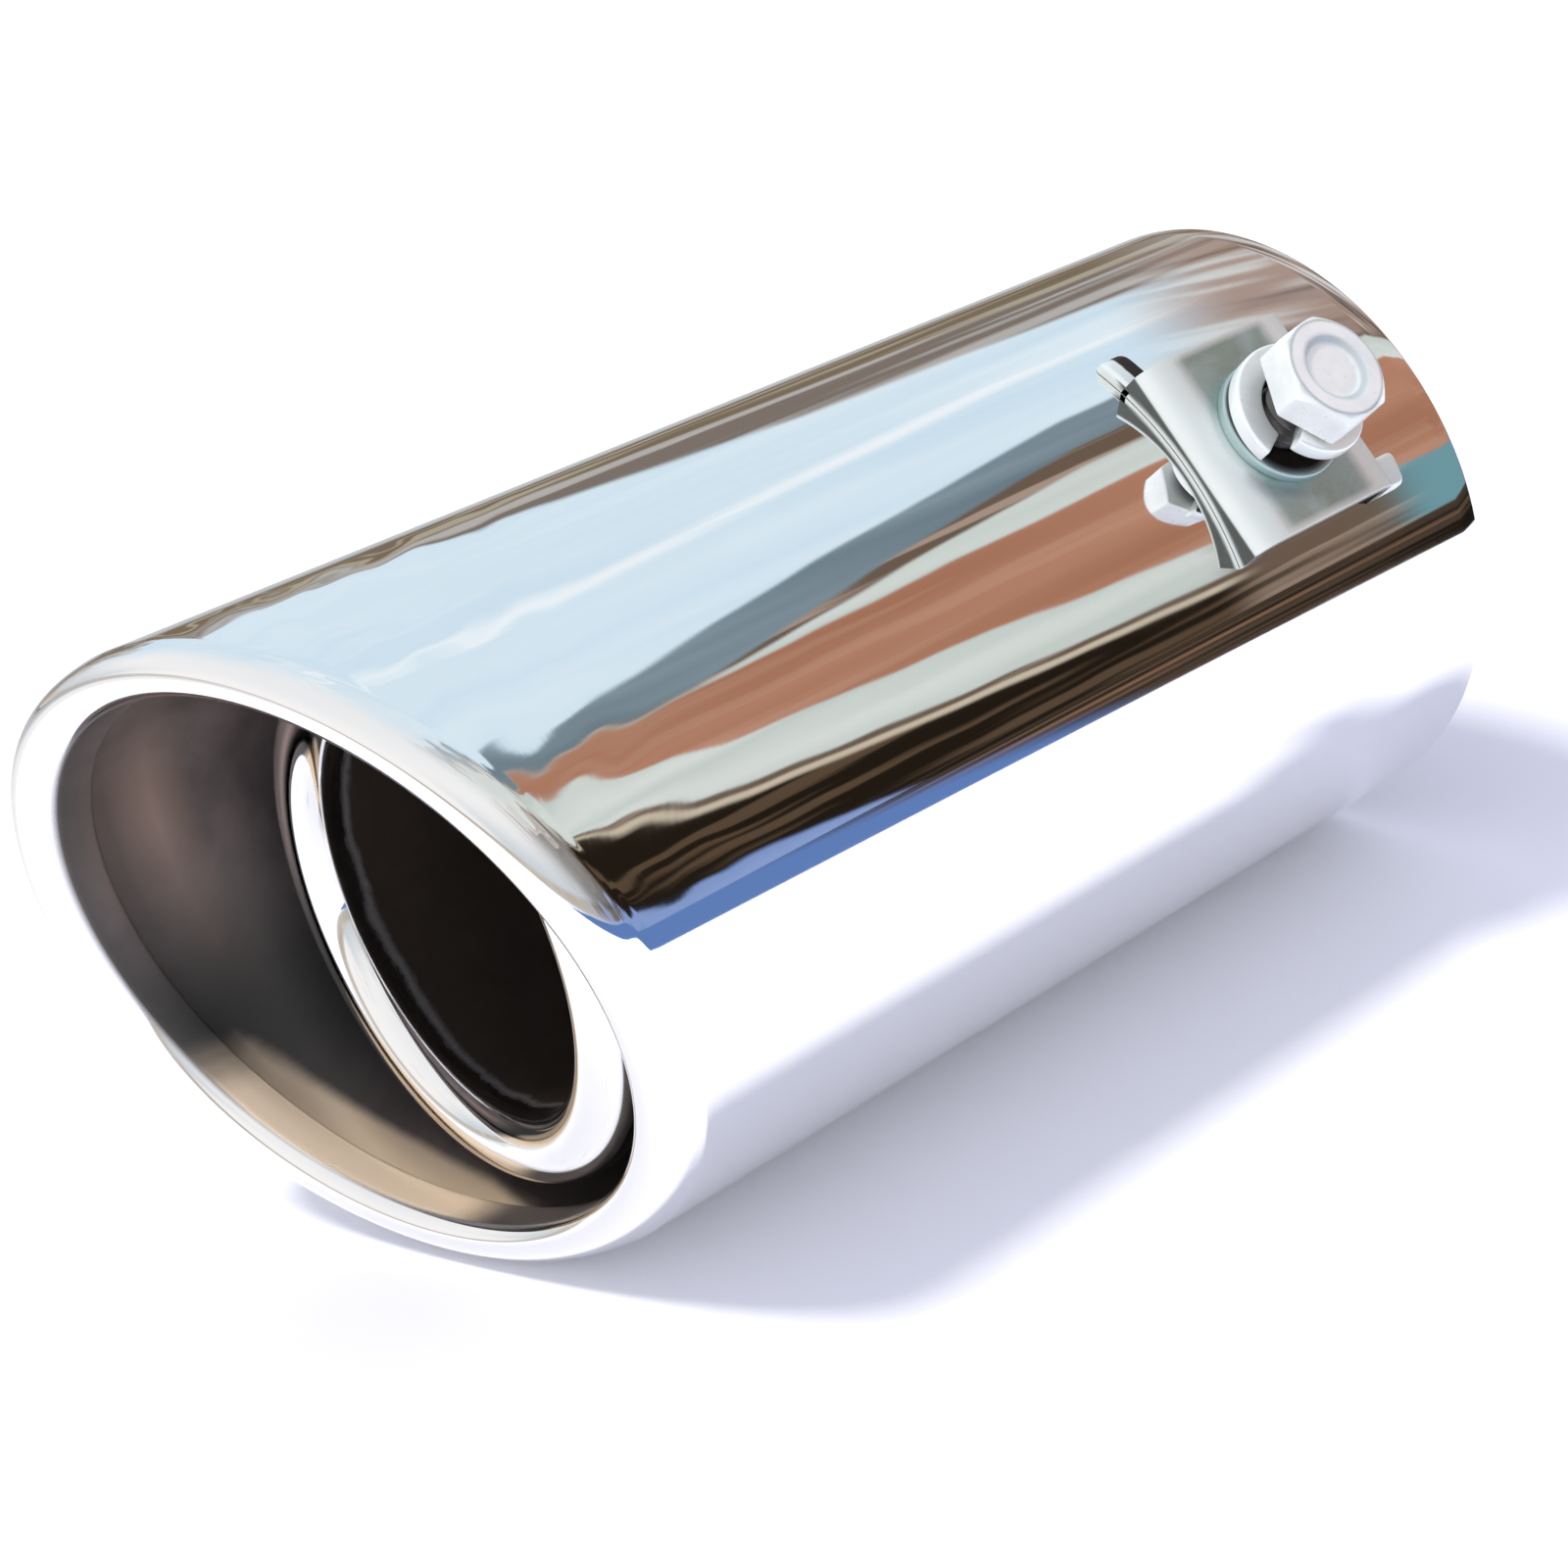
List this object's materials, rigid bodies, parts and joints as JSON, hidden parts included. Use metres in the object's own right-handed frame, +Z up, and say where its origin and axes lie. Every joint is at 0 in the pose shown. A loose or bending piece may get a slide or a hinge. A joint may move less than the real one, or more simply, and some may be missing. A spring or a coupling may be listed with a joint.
{
  "type": "exhaust tip",
  "caption": "Slash-cut round tube with a rolled lip, an inner tube with a rolled mouth, and two opposed screw clamps that grip a tail pipe.",
  "frame": {"origin": "on the tube's axis, midway between the two clamp screws", "axes": "+X along the tube, out of the inlet; the mouth points to -X; +Z up as the tip lies on its side"},
  "size_m": [0.1261, 0.0754, 0.0638],
  "materials": {
    "polished_shell": "mirror-polished stainless sheet",
    "polished_mouth": "polished stainless sheet",
    "pressed_steel": "bare pressed steel",
    "plated_bracket": "bright zinc plate",
    "plated_nut": "zinc plate",
    "spring_steel": "bright zinc plate",
    "plated_screw": "bright zinc plate",
    "jaw_steel": "bare spring steel"
  },
  "bodies": {
    "tube": {"outer_shell": "polished_shell", "inner_tube": "polished_mouth", "support_ring": "pressed_steel", "near_bracket": "plated_bracket", "near_weld_nut": "plated_nut", "near_plain_washer": "plated_nut", "near_spring_washer": "spring_steel", "far_bracket": "plated_bracket", "far_weld_nut": "plated_nut", "far_plain_washer": "plated_nut", "far_spring_washer": "spring_steel"},
    "near_jaw": {"near_jaw": "jaw_steel"},
    "near_screw": {"near_clamp_screw": "plated_screw"},
    "far_jaw": {"far_jaw": "jaw_steel"},
    "far_screw": {"far_clamp_screw": "plated_screw"}
  },
  "joints": [
    {"name": "near_jaw_slide", "type": "slide", "parent": "tube", "child": "near_jaw", "axis": [0, -0.7771, 0.6293], "range_m": [0, 0.004]},
    {"name": "near_screw_turn", "type": "hinge", "parent": "near_jaw", "child": "near_screw", "pos_m": [0, 0, 0], "axis": [0, -0.7771, 0.6293], "range_deg": [0, 1441]},
    {"name": "far_jaw_slide", "type": "slide", "parent": "tube", "child": "far_jaw", "axis": [0, 0.7771, -0.6293], "range_m": [0, 0.004]},
    {"name": "far_screw_turn", "type": "hinge", "parent": "far_jaw", "child": "far_screw", "pos_m": [0, 0, 0], "axis": [0, 0.7771, -0.6293], "range_deg": [0, 1441]}
  ],
  "couplings": [
    {"joint": "near_screw_turn", "follows": "near_jaw_slide", "rad_per_m": 6283.2},
    {"joint": "far_screw_turn", "follows": "far_jaw_slide", "rad_per_m": 6283.2}
  ]
}
